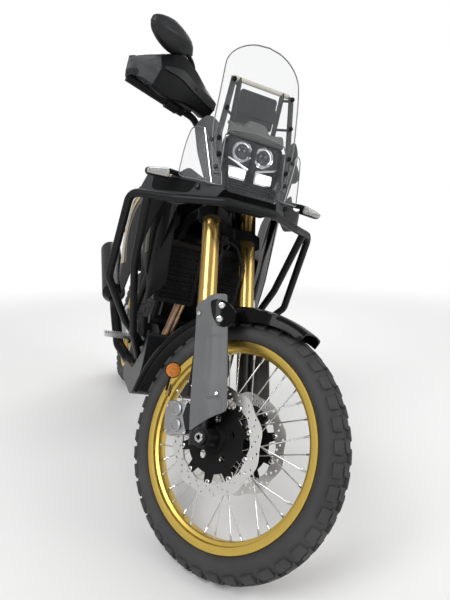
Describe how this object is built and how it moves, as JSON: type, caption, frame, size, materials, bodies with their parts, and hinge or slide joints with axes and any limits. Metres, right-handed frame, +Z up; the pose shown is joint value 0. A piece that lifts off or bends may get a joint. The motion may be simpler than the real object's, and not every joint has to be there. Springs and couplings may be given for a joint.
{
  "type": "adventure motorcycle",
  "caption": "Adventure motorcycle with laced wheels, long-travel fork, crash bars and tall screen, leaning on its side stand with the bars turned left.",
  "frame": {"origin": "on the ground under the middle of the parked machine's outline", "axes": "+X forward along the parked machine, +Y to the rider's left, +Z up"},
  "size_m": [2.1974, 0.877, 1.5402],
  "materials": {
    "tyre": "matt rubber",
    "gold": "gold anodised, satin",
    "steel": "satin",
    "cast": "cast, grey",
    "black_metal": "satin black powder coat",
    "black_plastic": "matt",
    "gloss_black": "gloss",
    "grey_plastic": "matt",
    "clear": "clear polycarbonate",
    "lamp": "clear lens over chrome",
    "red_lens": "red lens",
    "seat_cover": "grained vinyl",
    "rubber": "matt",
    "header": "heat-tinted steel",
    "chain_steel": "oiled"
  },
  "bodies": {
    "chassis": {"frame": "black_metal", "engine": "cast", "radiators": "black_metal", "fuel_tank": "gloss_black", "seat": "seat_cover", "subframe": "black_metal", "rear_rack": "black_metal", "rear_mudguard": "black_plastic", "tail_panels": "gloss_black", "swingarm": "cast", "swingarm_shafts": "steel", "shock": "steel", "chain_drive": "chain_steel", "rear_caliper": "cast", "exhaust": "header", "skid_plate": "black_metal", "crash_bars": "black_metal", "headlamp": "lamp", "fairing_frame": "black_metal", "windscreen": "clear", "side_panels": "grey_plastic", "front_indicators": "black_plastic", "rear_lamps": "red_lens", "footrests": "steel"},
    "steering": {"fork_tubes": "gold", "fork_legs": "cast", "front_axle": "steel", "triple_clamps": "black_metal", "handlebar": "black_metal", "hand_controls": "black_plastic", "hand_levers": "steel", "hand_guards": "black_plastic", "mirrors": "black_plastic", "front_fender": "gloss_black", "fork_guards": "grey_plastic", "front_calipers": "cast", "brake_hoses": "rubber"},
    "front_wheel": {"front_tyre": "tyre", "front_rim": "gold", "front_spokes": "steel", "front_hub": "black_metal", "front_discs": "steel"},
    "rear_wheel": {"rear_tyre": "tyre", "rear_rim": "gold", "rear_spokes": "steel", "rear_hub": "black_metal", "rear_disc": "steel", "rear_sprocket": "steel"},
    "stand": {"side_stand": "black_metal"}
  },
  "joints": [
    {"name": "steering_turn", "type": "hinge", "parent": "chassis", "child": "steering", "pos_m": [0.73459, -0.1884, 0.30675], "axis": [-0.4482, 0.2004, 0.8712], "range_deg": [-66, 0]},
    {"name": "front_wheel_spin", "type": "hinge", "parent": "steering", "child": "front_wheel", "pos_m": [0.77952, -0.15141, 0.32137], "axis": [-0.4881, 0.7616, -0.4264], "continuous": true},
    {"name": "rear_wheel_spin", "type": "hinge", "parent": "chassis", "child": "rear_wheel", "pos_m": [-0.75185, -0.18587, 0.32754], "axis": [-0.0015, 0.9744, -0.2249], "continuous": true},
    {"name": "stand_fold", "type": "hinge", "parent": "chassis", "child": "stand", "pos_m": [-0.0763, -0.02068, 0.2562], "axis": [0.0392, 0.956, 0.2909], "range_deg": [0, 101.97]}
  ]
}
